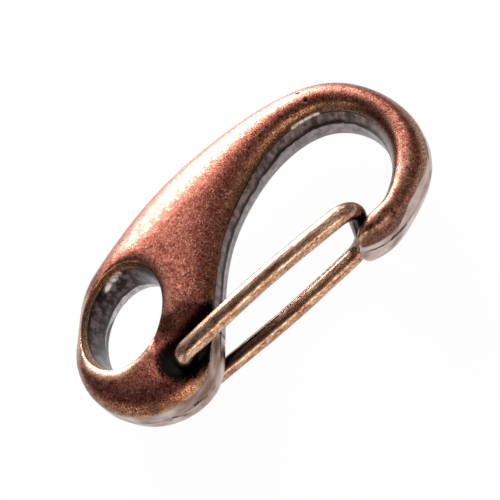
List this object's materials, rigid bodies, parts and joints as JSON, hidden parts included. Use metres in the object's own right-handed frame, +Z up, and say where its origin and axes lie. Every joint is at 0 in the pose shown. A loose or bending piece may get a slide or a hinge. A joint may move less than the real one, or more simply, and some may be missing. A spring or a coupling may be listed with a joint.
{
  "type": "lobster clasp",
  "caption": "Cast lobster clasp: an oval eye, a tapering rounded body, a deep hook, and a sprung bent-wire gate that closes on the hook's nose and opens inwards.",
  "frame": {"origin": "on the surface the clasp lies on, under the middle of its length and width", "axes": "+X runs from the eye to the hook, +Y from the gate side to the spine, +Z up, out of one of the clasp's two alike faces"},
  "size_m": [0.0363, 0.0204, 0.0093],
  "materials": {
    "cast_body": "antique copper plating, satin, darkened in its hollows",
    "gate_wire": "antique copper plating, half-bright"
  },
  "bodies": {
    "hook_body": {"hook_body": "cast_body"},
    "wire_gate": {"wire_gate": "gate_wire"}
  },
  "joints": [
    {"name": "gate_hinge", "type": "hinge", "parent": "hook_body", "child": "wire_gate", "pos_m": [-0.01045, -0.0055, 0.00466], "axis": [0, 0, 1], "range_deg": [0, 30], "stiffness_Nm_per_rad": 0.15, "springref_deg": -5.73}
  ]
}
